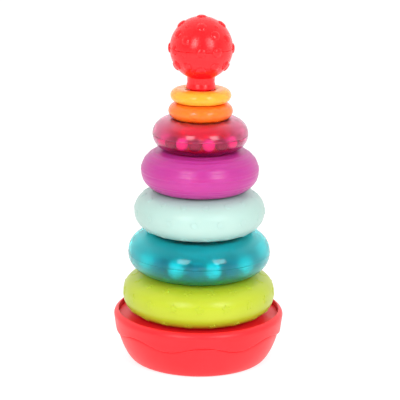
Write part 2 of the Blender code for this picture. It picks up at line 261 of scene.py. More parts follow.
def band_underside(share):
    def row(azimuth):
        edge = band_edge(azimuth)
        inner, outer = bowl_radius(edge) - groove_depth, band_radius(edge) - edge_rounding
        return inner + (outer - inner) * share, edge
    return row


def band_corner(angle):
    def row(azimuth):
        height = band_edge(azimuth) + edge_rounding * (1 - sin(angle))
        return band_radius(height) - edge_rounding * (1 - cos(angle)), height
    return row


def band_side(share):
    def row(azimuth):
        low = band_edge(azimuth) + edge_rounding
        height = low + (rim_height - low) * share
        return band_radius(height), height
    return row


profile = [(0, 0), (0.012, 0), (0.026, 0), (0.042, 0), (foot_radius - 0.002, 0),
           (foot_radius - 0.0006, 0.0001), (foot_radius + 0.0006, 0.0005)]
profile += [bowl_side(share) for share in [k / 14 for k in range(14)] + [0.955, 0.97, 0.985, 1]]
profile += [band_underside(0), band_underside(1)]
profile += [band_corner(pi / 2 * (1 - k / 5)) for k in range(1, 5)]
profile += [band_side(k / 4) for k in range(4)]
for k in range(9):
    angle = radians(74) * k / 8
    profile.append((rim_radius - lip_rounding * (1 - cos(angle)), rim_height + lip_rounding * sin(angle)))
lip_top = rim_height + lip_rounding - 0.0001
profile += soft_corners([(lip_inside + 0.0008, lip_top, 0), (lip_inside, lip_top, 0.0006),
                         (lip_inside, ledge_height, 0)])[1:]
profile += [(lip_inside - 0.0022, ledge_height), (lip_inside - 0.0022, ledge_height - 0.0022)]
for k in range(11):
    height = band_height - (band_height - floor_thickness) * k / 10
    profile.append((bowl_radius(height, bowl_wall + (0 if k < 10 else 0.001)), height))
profile += [(0, floor_thickness)]

screws = [(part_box(f"base_screw_{n}")[0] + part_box(f"base_screw_{n}")[1]) / 2 for n in (1, 2, 3)]
pillar_radius = 0.0060
pillar_height = 0.0120
recess_radius = 0.0039
recess_depth = 0.0095
screw_hole_radius = 0.0017
bowl = turned_piece("bowl", profile, 252)
pillar = [(0, 0.001), (pillar_radius, 0.001), (pillar_radius, pillar_height - 0.0004),
          (pillar_radius - 0.0004, pillar_height), (0, pillar_height)]
recess = [(0, -0.001), (recess_radius + 0.0004, -0.001), (recess_radius, 0.0004),
          (recess_radius, recess_depth), (screw_hole_radius, recess_depth),
          (screw_hole_radius, pillar_height + 0.001), (0, pillar_height + 0.001)]
carve(bowl, [(stub("pillar", place.x, place.y, pillar), 'UNION') for place in screws]
      + [(stub("recess", place.x, place.y, recess), 'DIFFERENCE') for place in screws])
put_on(bowl, coral, "base", "base_coral", "base_bowl")


# ------------------------------------------------------------------ deck
# The flat top of the base is a disc that drops inside the lip and leaves a fine shadow line.
# It is the same coral plastic. A collar under it steadies the post, and three bosses take
# the screws.

deck_edge = deck_high.x
collar_inside = 0.0111
collar_outside = 0.0133
collar_bottom = deck_low.z
deck_thickness = 0.0024
boss_radius = 0.0045
boss_bottom = 0.0123
pilot_hole_top = 0.0262
deck = turned_piece("deck", soft_corners([
    (collar_outside, collar_bottom, 0.0003), (collar_outside, deck_top - deck_thickness, 0.0008),
    (deck_edge, deck_top - deck_thickness, 0.0003), (deck_edge, deck_top, 0.0005),
    (collar_inside, deck_top, 0.0005), (collar_inside, collar_bottom, 0.0003)]), 192, closed=True)
boss = [(0, boss_bottom), (boss_radius, boss_bottom), (boss_radius, deck_top - 0.001),
        (0, deck_top - 0.001)]
pilot_hole = [(0, 0.0100), (screw_hole_radius, 0.0100), (screw_hole_radius, pilot_hole_top),
              (0, pilot_hole_top)]
carve(deck, [(stub("boss", place.x, place.y, boss), 'UNION') for place in screws]
      + [(stub("pilot_hole", place.x, place.y, pilot_hole), 'DIFFERENCE') for place in screws])
put_on(deck, coral, "base", "base_coral", "base_deck")


# ------------------------------------------------------------------ post
# The hollow post stands in the deck's collar on a flange that the floor traps. It is moulded in
# the same coral, a little glossier where years of rings would slide. Its mouth is rounded so
# that the topper's spigot finds its way in.

post_low, post_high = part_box("centre_post")[0].z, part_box("centre_post")[1].z
post_radius = 0.0108
post_bore = 0.0090
flange_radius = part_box("centre_post")[1].x
flange_top = post_low + 0.0024
post = turned_piece("post", soft_corners([
    (flange_radius, post_low, 0.0004), (flange_radius, flange_top, 0.0008),
    (post_radius, flange_top, 0.0008), (post_radius, post_high, 0.0008),
    (post_bore, post_high, 0.0006), (post_bore, post_low, 0.0004)]), 96, closed=True)
post_coral = satin_plastic("post_coral_plastic", coral_colour, (0.85, 0.011, 0.018, 1), 0.30, grain=0.5)
put_on(post, post_coral, "base", "post_plastic", "centre_post")


# ------------------------------------------------------------------ screws
# Three pan-head screws with a cross recess, zinc-plated steel, driven up through the floor into
# the deck's bosses. One is made and copied round the post.

def maths(tree, operation, *values):
    """A Math node over sockets and plain numbers."""
    node = tree.nodes.new('ShaderNodeMath')
    node.operation = operation
    for socket, value in zip(node.inputs, values):
        if isinstance(value, (int, float)):
            socket.default_value = value
        else:
            tree.links.new(value, socket)
    return node.outputs[0]


def vector_of(tree, x, y, z):
    node = tree.nodes.new('ShaderNodeCombineXYZ')
    for socket, value in zip(node.inputs, (x, y, z)):
        if isinstance(value, (int, float)):
            socket.default_value = value
        else:
            tree.links.new(value, socket)
    return node.outputs[0]


def new_tree(name, inputs):
    """An empty tree with a geometry in and out and the named inputs that it is given."""
    tree = bpy.data.node_groups.new(name, 'GeometryNodeTree')
    tree.interface.new_socket("Geometry", in_out='INPUT', socket_type='NodeSocketGeometry')
    for label, kind in inputs:
        tree.interface.new_socket(label, in_out='INPUT', socket_type='NodeSocket' + kind)
    tree.interface.new_socket("Geometry", in_out='OUTPUT', socket_type='NodeSocketGeometry')
    return tree, tree.nodes.new('NodeGroupInput').outputs, tree.nodes.new('NodeGroupOutput').inputs


def use_tree(piece, tree, **values):
    """Adds a tree to a piece, with its inputs set by their labels in lower case."""
    modifier = piece.modifiers.new(tree.name, 'NODES')
    modifier.node_group = tree
    for item in tree.interface.items_tree:
        label = item.name.lower().replace(" ", "_")
        if item.in_out == 'INPUT' and label in values:
            modifier[item.identifier] = values[label]


def make_copies_tree():
    """Copies of a piece stood in a row round the post, added to what is there. A copy's own Z
    points away from the post, raised by Tilt; its own X points down and its Y round the post."""
    tree, given, result = new_tree("copies_round_the_post", [
        ("Copy", 'Object'), ("Finish", 'Material'), ("Count", 'Int'), ("Step", 'Float'),
        ("First Azimuth", 'Float'), ("Radius", 'Float'), ("Height", 'Float'), ("Tilt", 'Float'),
        ("Spin", 'Float')])
    points = tree.nodes.new('GeometryNodePoints')
    number = tree.nodes.new('GeometryNodeInputIndex').outputs[0]
    azimuth = maths(tree, 'ADD', maths(tree, 'MULTIPLY', number, given["Step"]), given["First Azimuth"])
    across = maths(tree, 'MULTIPLY', maths(tree, 'SINE', azimuth), given["Radius"])
    forward = maths(tree, 'MULTIPLY', maths(tree, 'COSINE', azimuth), given["Radius"])
    place = vector_of(tree, across, maths(tree, 'MULTIPLY', forward, -1), given["Height"])
    tree.links.new(given["Count"], points.inputs["Count"])
    tree.links.new(place, points.inputs["Position"])
    source = tree.nodes.new('GeometryNodeObjectInfo')
    tree.links.new(given["Copy"], source.inputs["Object"])
    lean = vector_of(tree, 0, maths(tree, 'SUBTRACT', pi / 2, given["Tilt"]),
                     maths(tree, 'SUBTRACT', azimuth, pi / 2))
    leaning = tree.nodes.new('FunctionNodeEulerToRotation')
    tree.links.new(lean, leaning.inputs[0])
    spinning = tree.nodes.new('FunctionNodeEulerToRotation')
    tree.links.new(vector_of(tree, 0, 0, given["Spin"]), spinning.inputs[0])
    turning = tree.nodes.new('FunctionNodeRotateRotation')
    turning.rotation_space = 'LOCAL'
    tree.links.new(leaning.outputs[0], turning.inputs[0])
    tree.links.new(spinning.outputs[0], turning.inputs[1])
    copies = tree.nodes.new('GeometryNodeInstanceOnPoints')
    tree.links.new(points.outputs[0], copies.inputs["Points"])
    tree.links.new(source.outputs["Geometry"], copies.inputs["Instance"])
    tree.links.new(turning.outputs[0], copies.inputs["Rotation"])
    real = tree.nodes.new('GeometryNodeRealizeInstances')
    tree.links.new(copies.outputs[0], real.inputs[0])
    finish = tree.nodes.new('GeometryNodeSetMaterial')
    tree.links.new(real.outputs[0], finish.inputs["Geometry"])
    tree.links.new(given["Finish"], finish.inputs["Material"])
    together = tree.nodes.new('GeometryNodeJoinGeometry')
    tree.links.new(finish.outputs[0], together.inputs[0])
    tree.links.new(given["Geometry"], together.inputs[0])
    tree.links.new(together.outputs[0], result["Geometry"])
    return tree


def empty_piece(name):
    piece = bpy.data.objects.new(name, bpy.data.meshes.new(name))
    bpy.context.scene.collection.objects.link(piece)
    return piece


copies_round_the_post = make_copies_tree()


def paint(red, green, blue):
    """A colour as it shows on a screen, 0 to 255, as the linear colour a shader wants."""
    channels = [value / 255 for value in (red, green, blue)]
    return [c / 12.92 if c <= 0.04045 else ((c + 0.055) / 1.055) ** 2.4 for c in channels] + [1]


def zinc_plate(name):
    """Bright zinc with the faint bloom and turning marks of a tumbled screw."""
    material = bpy.data.materials.new(name)
    material.use_nodes = True
    nodes = material.node_tree.nodes
    shader = nodes["Principled BSDF"]
    shader.inputs["Metallic"].default_value = 1
    place = nodes.new('ShaderNodeTexCoord')
    bloom = nodes.new('ShaderNodeTexNoise')
    bloom.inputs["Scale"].default_value = 700
    bloom.inputs["Detail"].default_value = 4
    join_nodes(material, place.outputs["Object"], bloom.inputs["Vector"])
    tint = nodes.new('ShaderNodeValToRGB')
    tint.color_ramp.elements[0].position = 0.35
    tint.color_ramp.elements[0].color = paint(168, 172, 178)
    tint.color_ramp.elements[1].position = 0.65
    tint.color_ramp.elements[1].color = paint(206, 208, 210)
    join_nodes(material, bloom.outputs["Fac"], tint.inputs["Fac"])
    join_nodes(material, tint.outputs["Color"], shader.inputs["Base Color"])
    gloss = nodes.new('ShaderNodeMapRange')
    gloss.inputs["To Min"].default_value = 0.22
    gloss.inputs["To Max"].default_value = 0.42
    join_nodes(material, bloom.outputs["Fac"], gloss.inputs["Value"])
    join_nodes(material, gloss.outputs["Result"], shader.inputs["Roughness"])
    marks = nodes.new('ShaderNodeBump')
    marks.inputs["Strength"].default_value = 0.2
    marks.inputs["Distance"].default_value = 0.0001
    join_nodes(material, bloom.outputs["Fac"], marks.inputs["Height"])
    join_nodes(material, marks.outputs["Normal"], shader.inputs["Normal"])
    return material


head_height = 0.0020
head_radius = 0.0033
shank_radius = 0.0014
thread_depth = 0.0003
shank_length = 0.0160
thread_pitch = 0.0012
head_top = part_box("base_screw_1")[1].z - shank_length
profile = [(0, -head_height)]
for k in range(1, 6):
    angle = pi / 2 * k / 5
    profile.append((head_radius * (0.55 + 0.45 * sin(angle)), -head_height * (0.45 + 0.55 * cos(angle))))
profile += [(head_radius, -0.0003), (head_radius - 0.0002, 0), (shank_radius, 0)]
for k in range(11):
    height = thread_pitch * (1 + k)
    profile += [(shank_radius - thread_depth, height), (shank_radius, height + thread_pitch / 2)]
profile += [(0.0006, shank_length - 0.0005), (0, shank_length)]
blank = turned_piece("screw_blank", profile, 24)
slots = []
for quarter in (0, 1):
    slot = bpy.data.meshes.new("driver_slot")
    shape = bmesh.new()
    bmesh.ops.create_cube(shape, size=1)
    for corner in shape.verts:
        taper = 1.0 if corner.co.z < 0 else 0.45
        corner.co = Vector((corner.co.x * 0.0034 * taper, corner.co.y * 0.0008 * taper,
                            -0.0017 + corner.co.z * 0.0018))
    shape.transform(Matrix.Rotation(pi / 2 * quarter, 4, 'Z'))
    shape.to_mesh(slot)
    shape.free()
    cutter = bpy.data.objects.new(f"driver_slot_{quarter}", slot)
    bpy.context.scene.collection.objects.link(cutter)
    slots.append((cutter, 'DIFFERENCE'))
carve(blank, slots)
steel = zinc_plate("zinc_plated_steel")
screw_set = empty_piece("base_screws")
screw_circle = Vector((screws[0].x, screws[0].y)).length
use_tree(screw_set, copies_round_the_post, copy=blank, finish=steel, count=3, step=2 * pi / 3,
         first_azimuth=pi, radius=screw_circle, height=head_top, tilt=pi / 2, spin=0.3)
settle(screw_set)
drop(blank)
put_on(screw_set, None, "base", "screw_steel", "base_screw_1", "base_screw_2", "base_screw_3")


# ------------------------------------------------------------------ lime ring
# The lowest and widest ring is a hollow blow-moulded polyethylene doughnut, a little boxy in
# section. Three staggered rows of small raised flowers run round it, and a domed plug closes the
# blowing hole in its bore.

def make_ring_tree():
    """A ring turned about the post from a superellipse section, between two angles of that
    section, with ridges that run round it. Angle 0 is its widest line, and 90 degrees its top."""
    tree, given, result = new_tree("ring_body", [
        ("Finish", 'Material'), ("Crest Radius", 'Float'), ("Half Width", 'Float'), ("Half Height", 'Float'),
        ("Outer Squareness", 'Float'), ("Inner Squareness", 'Float'), ("Middle Height", 'Float'),
        ("Around", 'Int'), ("Across", 'Int'), ("First Angle", 'Float'), ("Last Angle", 'Float'),
        ("Ridge Height", 'Float'), ("Ridge Count", 'Float'), ("Unevenness", 'Float')])
    grid = tree.nodes.new('GeometryNodeMeshGrid')
    grid.inputs["Size X"].default_value = 1
    grid.inputs["Size Y"].default_value = 1
    tree.links.new(given["Around"], grid.inputs["Vertices X"])
    tree.links.new(given["Across"], grid.inputs["Vertices Y"])
    share = tree.nodes.new('ShaderNodeSeparateXYZ')
    tree.links.new(grid.outputs["UV Map"], share.inputs[0])
    turn = maths(tree, 'MULTIPLY', share.outputs[0], 2 * pi)
    arc = maths(tree, 'SUBTRACT', given["Last Angle"], given["First Angle"])
    sweep = maths(tree, 'ADD', given["First Angle"], maths(tree, 'MULTIPLY', share.outputs[1], arc))
    outwards, upwards = maths(tree, 'COSINE', sweep), maths(tree, 'SINE', sweep)
    is_outer = maths(tree, 'GREATER_THAN', outwards, 0.0)
    squarer = maths(tree, 'SUBTRACT', given["Outer Squareness"], given["Inner Squareness"])
    squareness = maths(tree, 'ADD', given["Inner Squareness"], maths(tree, 'MULTIPLY', is_outer, squarer))
    power = maths(tree, 'DIVIDE', 2.0, squareness)
    reach = maths(tree, 'MULTIPLY', maths(tree, 'SIGN', outwards),
                  maths(tree, 'POWER', maths(tree, 'ABSOLUTE', outwards), power))
    climb = maths(tree, 'MULTIPLY', maths(tree, 'SIGN', upwards),
                  maths(tree, 'POWER', maths(tree, 'ABSOLUTE', upwards), power))
    even = maths(tree, 'COSINE', maths(tree, 'MULTIPLY', sweep, given["Ridge Count"]))
    ripple = tree.nodes.new('ShaderNodeTexNoise')
    ripple.noise_dimensions = '1D'
    ripple.inputs["Scale"].default_value = 1
    ripple.inputs["Detail"].default_value = 1
    half_count = maths(tree, 'DIVIDE', given["Ridge Count"], 2.0)
    tree.links.new(maths(tree, 'MULTIPLY', upwards, half_count), ripple.inputs["W"])
    uneven = maths(tree, 'MULTIPLY', maths(tree, 'SUBTRACT', ripple.outputs[0], 0.5), 3.2)
    evenness = maths(tree, 'SUBTRACT', 1.0, given["Unevenness"])
    mixed = maths(tree, 'ADD', maths(tree, 'MULTIPLY', even, evenness),
                  maths(tree, 'MULTIPLY', uneven, given["Unevenness"]))
    ridge = maths(tree, 'MULTIPLY', mixed, maths(tree, 'MULTIPLY', given["Ridge Height"], is_outer))
    radius = maths(tree, 'ADD', given["Crest Radius"],
                   maths(tree, 'MULTIPLY', reach, maths(tree, 'ADD', given["Half Width"], ridge)))
    height = maths(tree, 'ADD', given["Middle Height"],
                   maths(tree, 'MULTIPLY', climb, maths(tree, 'ADD', given["Half Height"], ridge)))
    place = vector_of(tree, maths(tree, 'MULTIPLY', radius, maths(tree, 'COSINE', turn)),
                      maths(tree, 'MULTIPLY', radius, maths(tree, 'SINE', turn)), height)
    moved = tree.nodes.new('GeometryNodeSetPosition')
    tree.links.new(grid.outputs["Mesh"], moved.inputs["Geometry"])
    tree.links.new(place, moved.inputs["Position"])
    merged = tree.nodes.new('GeometryNodeMergeByDistance')
    merged.inputs["Distance"].default_value = 0.000005
    tree.links.new(moved.outputs[0], merged.inputs["Geometry"])
    real = tree.nodes.new('GeometryNodeRealizeInstances')
    tree.links.new(merged.outputs[0], real.inputs[0])
    finish = tree.nodes.new('GeometryNodeSetMaterial')
    tree.links.new(real.outputs[0], finish.inputs["Geometry"])
    tree.links.new(given["Finish"], finish.inputs["Material"])
    tree.links.new(finish.outputs[0], result["Geometry"])
    return tree


ring_body = make_ring_tree()
bore_radius = 0.01155


class Ring:
    """Where a ring's skin lies, from the box of the nodes that it is made of."""

    def __init__(self, nodes, squareness):
        boxes = [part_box(node) for node in nodes]
        self.low = min(low.z for low, high in boxes)
        self.high = max(high.z for low, high in boxes)
        self.middle = (self.low + self.high) / 2
        self.half_height = (self.high - self.low) / 2
        self.radius = max(high.x for low, high in boxes)
        self.crest = (self.radius + bore_radius) / 2
        self.half_width = self.crest - bore_radius
        self.squareness = squareness

    def at(self, angle):
        """Radius, height and tilt of the skin at an angle of the section."""
        c, s = cos(angle), sin(angle)
        n = self.squareness[0 if c > 0 else 1]
        u = (1 if c > 0 else -1) * abs(c) ** (2 / n)
        w = (1 if s > 0 else -1) * abs(s) ** (2 / n)
        slope = Vector(((1 if c > 0 else -1) * abs(u) ** (n - 1) / self.half_width,
                        (1 if s > 0 else -1) * abs(w) ** (n - 1) / self.half_height))
        tilt = Vector((1, 0)).angle_signed(slope) * -1
        return self.crest + self.half_width * u, self.middle + self.half_height * w, tilt

    def body(self, name, finish, around=193, across=97, first=0.0, last=2 * pi, ridge=0.0, ridges=0.0,
             uneven=0.0, lift=0.0):
        """The ring's skin, or the part of it between two angles. lift parts two halves at a seam."""
        piece = empty_piece(name)
        use_tree(piece, ring_body, finish=finish, crest_radius=self.crest, half_width=self.half_width,
                 half_height=self.half_height - abs(lift), outer_squareness=self.squareness[0],
                 inner_squareness=self.squareness[1], middle_height=self.middle + lift, around=around,
                 across=across, first_angle=first, last_angle=last, ridge_height=ridge, ridge_count=ridges,
                 unevenness=uneven)
        return piece

    def row(self, piece, copy, finish, count, first, angle, spin=0.0):
        """Stands copies on the skin, at an angle of the section."""
        radius, height, tilt = self.at(angle)
        use_tree(piece, copies_round_the_post, copy=copy, finish=finish, count=count, step=2 * pi / count,
                 first_azimuth=first, radius=radius, height=height, tilt=tilt, spin=spin)


flat_shoulders = ((0.35, 1.0), (0.62, 0.97), (0.82, 0.80), (0.94, 0.45))


def raised_mark(name, outline, height, sink, around, shoulders=flat_shoulders):
    """A low raised mark. outline gives its radius at an angle, and a shoulder is a share of that
    radius with the share of the height it has there."""
    rows = [lambda turn: (outline(turn) * 0.96, -sink), lambda turn: (outline(turn) * 1.04, -sink * 0.35),
            lambda turn: (outline(turn), height * 0.12)]
    for share, rise in reversed(shoulders):
        rows.append(lambda turn, share=share, rise=rise: (outline(turn) * share, height * rise))
    rows = [(0, -sink)] + rows + [(0, height)]
    return turned_piece(name, rows, around)


def plug(ring_name, ring, finish, slot):
    """The domed plug in a ring's blowing hole, on the bore at the back."""
    dome = raised_mark("plug_dome", lambda turn: 0.0014, 0.00022, 0.0012, 20)
    piece = empty_piece(f"{ring_name}_plug")
    use_tree(piece, copies_round_the_post, copy=dome, finish=finish, count=1, step=0.0, first_azimuth=pi,
             radius=bore_radius, height=ring.middle, tilt=pi, spin=0.0)
    settle(piece)
    drop(dome)
    put_on(piece, None, f"{ring_name}_ring", slot, f"{ring_name}_ring_plug")


lime = satin_plastic("lime_satin_plastic", (0.430, 0.500, 0.020, 1), (0.410, 0.484, 0.015, 1), 0.34)
lime_ring = Ring(["lime_ring_shell"], (2.4, 2.4))
body = lime_ring.body("lime_ring", lime)
flower = raised_mark("flower", lambda turn: 0.0036 * (0.80 + 0.20 * cos(5 * turn)), 0.00030, 0.0012, 60)
for angle, first, spin in ((56, 10.9, 0.3), (8, 0.9, 1.0), (-42, 12.0, 0.7)):
    lime_ring.row(body, flower, lime, 18, radians(first), radians(angle), spin)
settle(body)
drop(flower)
put_on(body, None, "lime_ring", "lime_plastic", "lime_ring_shell")
plug("lime", lime_ring, lime, "lime_plastic")


# ------------------------------------------------------------------ teal ring
# A clear ring in two glossy polystyrene halves, glued at the widest line: a cloudy upper one,
# and a clearer lower one with fine ridges round it. Twenty loose beads, light and dark by
# turns, rattle in the channel that an opaque sleeve closes off from the bore.

def clear_plastic(name, tint, roughness):
    """Tinted clear plastic, cloudy inside, under a polished skin with handling haze."""
    material = bpy.data.materials.new(name)
    material.use_nodes = True
    nodes = material.node_tree.nodes
    shader = nodes["Principled BSDF"]
    shader.inputs["IOR"].default_value = 1.3
    shader.inputs["Transmission Weight"].default_value = 1.0
    shader.inputs["Specular Tint"].default_value = [0.15 + 0.75 * c for c in tint[:3]] + [1]
    shader.inputs["Coat Weight"].default_value = 0.6
    shader.inputs["Coat Roughness"].default_value = 0.03
    shader.inputs["Coat IOR"].default_value = 1.5
    place = nodes.new('ShaderNodeTexCoord')
    haze = nodes.new('ShaderNodeTexNoise')
    haze.inputs["Scale"].default_value = 55
    haze.inputs["Detail"].default_value = 4
    join_nodes(material, place.outputs["Object"], haze.inputs["Vector"])
    shade = nodes.new('ShaderNodeValToRGB')
    shade.color_ramp.elements[0].position = 0.3
    shade.color_ramp.elements[0].color = [c * 0.94 for c in tint[:3]] + [1]
    shade.color_ramp.elements[1].position = 0.65
    shade.color_ramp.elements[1].color = tint
    join_nodes(material, haze.outputs["Fac"], shade.inputs["Fac"])
    join_nodes(material, shade.outputs["Color"], shader.inputs["Base Color"])
    gloss = nodes.new('ShaderNodeMapRange')
    gloss.inputs["To Min"].default_value = roughness * 0.6
    gloss.inputs["To Max"].default_value = roughness * 1.8
    join_nodes(material, haze.outputs["Fac"], gloss.inputs["Value"])
    join_nodes(material, gloss.outputs["Result"], shader.inputs["Roughness"])
    flow = nodes.new('ShaderNodeBump')
    flow.inputs["Strength"].default_value = 0.12
    flow.inputs["Distance"].default_value = 0.0006
    join_nodes(material, haze.outputs["Fac"], flow.inputs["Height"])
    join_nodes(material, flow.outputs["Normal"], shader.inputs["Normal"])
    return material


def clear_halves(ring_name, ring, wall, cloudy, clear, slot, ridge, ridges):
    """The two half shells: the skin of each half, thickened inwards. Only the lower is ridged."""
    for half, finish, first, ridge_height, lift in (("lower", clear, -pi, ridge, -seam_gap / 2),
                                                    ("upper", cloudy, 0.0, 0.0, seam_gap / 2)):
        piece = ring.body(f"{ring_name}_{half}_half", finish, 193, 81, first, first + pi,
                          ridge_height, ridges, 0.0, lift)
        thick = piece.modifiers.new("Wall", 'SOLIDIFY')
        thick.thickness = wall
        thick.offset = -1
        settle(piece)
        put_on(piece, None, f"{ring_name}_ring", slot, f"{ring_name}_ring_{half}_shell")


def channel_sleeve(ring_name, finish):
    """The opaque tube between the halves that keeps the beads in the outer channel."""
    low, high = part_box(f"{ring_name}_ring_sleeve")
    outer, inner = high.x, high.x - sleeve_wall
    tube = turned_piece(f"{ring_name}_sleeve", soft_corners([
        (outer, low.z, 0.0003), (outer, high.z, 0.0003),
        (inner, high.z, 0.0003), (inner, low.z, 0.0003)]), 160, closed=True)
    put_on(tube, finish, f"{ring_name}_ring", f"{ring_name}_sleeve", f"{ring_name}_ring_sleeve")


def bead_plastic(name, colour, deep_colour):
    return satin_plastic(name, colour, deep_colour, 0.16, grain=0.3)


def bead_row(ring_name, light, dark, count):
    """Beads round the channel, light and dark by turns, each with its parting line."""
    low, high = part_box(f"{ring_name}_bead_01")
    centre, radius = (low + high) / 2, (high.z - low.z) / 2
    profile = [(0, -radius)]
    for k in range(1, 24):
        angle = -pi / 2 + pi * k / 24
        ridge = 0.00012 if k == 12 else 0
        profile.append(((radius + ridge) * cos(angle), radius * sin(angle)))
    profile.append((0, radius))
    bead = turned_piece("bead", profile, 40)
    piece = empty_piece(f"{ring_name}_beads")
    start = Vector((0, -1)).angle_signed(Vector((centre.x, centre.y))) * -1
    for number, finish in enumerate((light, dark)):
        use_tree(piece, copies_round_the_post, copy=bead, finish=finish, count=count // 2,
                 step=4 * pi / count, first_azimuth=start + number * 2 * pi / count,
                 radius=Vector((centre.x, centre.y)).length, height=centre.z, tilt=radians(35), spin=0.4)
    settle(piece)
    drop(bead)
    put_on(piece, None, f"{ring_name}_beads", f"{ring_name}_bead_light",
           *[f"{ring_name}_bead_{n + 1:02d}" for n in range(count)])


seam_gap = 0.0003
sleeve_wall = 0.0012
teal_cloudy = clear_plastic("teal_cloudy_plastic", [0.01, 0.92, 0.95, 1], 0.5)
teal_clear = clear_plastic("teal_clear_plastic", [0.01, 0.93, 0.95, 1], 0.32)
teal_ring = Ring(["teal_ring_lower_shell", "teal_ring_upper_shell"], (2.2, 2.2))
clear_halves("teal", teal_ring, 0.0016, teal_cloudy, teal_clear, "teal_plastic", 0.00018, 52.0)
channel_sleeve("teal", satin_plastic("teal_sleeve_plastic", [0.001, 0.37, 0.42, 1],
                                     [0.001, 0.34, 0.39, 1], 0.4))
bead_row("teal", bead_plastic("teal_bead_light_plastic", [0.005, 0.70, 0.76, 1], [0.005, 0.67, 0.73, 1]),
         bead_plastic("teal_bead_dark_plastic", [0.001, 0.16, 0.25, 1], [0.001, 0.14, 0.22, 1]), 20)


# ------------------------------------------------------------------ mint ring
# Another hollow blow-moulded ring, in pale mint. It has three staggered rows of sixteen
# raised round dots.

mint = satin_plastic("mint_satin_plastic", (0.380, 0.545, 0.495, 1), (0.366, 0.530, 0.480, 1), 0.34)
mint_ring = Ring(["mint_ring_shell"], (2.2, 2.2))
body = mint_ring.body("mint_ring", mint)
dot = raised_mark("dot", lambda turn: 0.0027, 0.00032, 0.0012, 40)
for angle, first in ((52, 6.5), (2, -4.5), (-50, 6.5)):
    mint_ring.row(body, dot, mint, 16, radians(first), radians(angle))
settle(body)
drop(dot)
put_on(body, None, "mint_ring", "mint_plastic", "mint_ring_shell")
plug("mint", mint_ring, mint, "mint_plastic")


# ------------------------------------------------------------------ purple ring
# A hollow blow-moulded ring in purple, with fine ridges at uneven spacings round it, like
# the marks that a potter's fingers leave.

purple = satin_plastic("purple_satin_plastic", (0.445, 0.032, 0.262, 1), (0.420, 0.027, 0.245, 1), 0.32,
                       glow=0.8, glow_depth=0.010)
purple_ring = Ring(["purple_ring_shell"], (2.05, 2.1))
body = purple_ring.body("purple_ring", purple, across=241, ridge=0.00036, ridges=17.0, uneven=1.0)
settle(body)
put_on(body, None, "purple_ring", "purple_plastic", "purple_ring_shell")
plug("purple", purple_ring, purple, "purple_plastic")


# ------------------------------------------------------------------ crimson ring
# The smaller clear ring, in the same two glued halves, cloudy above and clear below, with a
# sleeve in the bore. It is left smooth. Its eighteen beads are pink and dark plum by turns.
# The upper half is tinted a paler pink and the lower half a deeper red: painted light on top and painted
# shade underneath.

# Paler pink tint on the upper half and deeper red tint on the lower half: painted light above, painted shade
# below.
crimson_cloudy_painted_lighter = clear_plastic("crimson_cloudy_plastic", [1.0, 0.33, 0.55, 1], 0.38)
crimson_clear_painted_darker = clear_plastic("crimson_clear_plastic", [1.0, 0.09, 0.42, 1], 0.18)
crimson_ring = Ring(["crimson_ring_lower_shell", "crimson_ring_upper_shell"], (1.98, 2.0))
clear_halves("crimson", crimson_ring, 0.0014, crimson_cloudy_painted_lighter, crimson_clear_painted_darker, "crimson_plastic", 0.0, 0.0)
channel_sleeve("crimson", satin_plastic("crimson_sleeve_plastic", [0.80, 0.006, 0.060, 1],
                                        [0.77, 0.005, 0.052, 1], 0.4))
bead_row("crimson", bead_plastic("crimson_bead_light_plastic", [0.99, 0.30, 0.90, 1], [0.97, 0.27, 0.86, 1]),
         bead_plastic("crimson_bead_dark_plastic", [0.30, 0.02, 0.14, 1], [0.27, 0.015, 0.12, 1]), 18)


# ------------------------------------------------------------------ orange and yellow rings
# The two smallest rings are slim hollow doughnuts, blow moulded and left plain, with flat
# inner lands where the neck of the topper presses on them. Their blowing holes stay open, in
# the bore at the back.

for ring_name, colour, deep_colour, squareness in (
        ("orange", (0.900, 0.178, 0.014, 1), (0.890, 0.160, 0.011, 1), (1.9, 4.0)),
        ("yellow", (0.900, 0.375, 0.032, 1), (0.890, 0.358, 0.026, 1), (2.0, 4.0))):
    finish = satin_plastic(f"{ring_name}_satin_plastic", colour, deep_colour, 0.20,
                           glow=0.8, glow_depth=0.008)
    small_ring = Ring([f"{ring_name}_ring_shell"], squareness)
    body = small_ring.body(f"{ring_name}_ring", finish, around=145, across=73)
    settle(body)
    drill = turned_piece("drill", [(0, -0.0014), (0.0015, -0.0014), (0.0015, 0.0014), (0, 0.0014)], 24)
    drill.data.transform(Matrix.Translation((0, bore_radius, small_ring.middle))
                         @ Matrix.Rotation(pi / 2, 4, 'X'))
    carve(body, [(drill, 'DIFFERENCE')])
    put_on(body, finish, f"{ring_name}_ring", f"{ring_name}_plastic", f"{ring_name}_ring_shell")


# ------------------------------------------------------------------ topper
# The ball on top is coral plastic in two half shells, welded at the middle. Low round
# bumps for small teeth and fingers cover it. The lower half carries a short neck that flares
# where it stands on the yellow ring, and a hollow spigot that plugs into the post.

ball_low, ball_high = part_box("topper_upper_half")
ball_radius = ball_high.x
ball_middle = ball_low.z - 0.00015
topper_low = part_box("topper_lower_half")[0].z
neck_radius = 0.0112
flare_radius = 0.0119
foot_height = topper_low + 0.0160
spigot_radius = 0.0086
spigot_bore = 0.0070
ball_wall = 0.0018
neck_joins = (ball_radius ** 2 - neck_radius ** 2) ** 0.5
inner_ball_radius = ball_radius - ball_wall

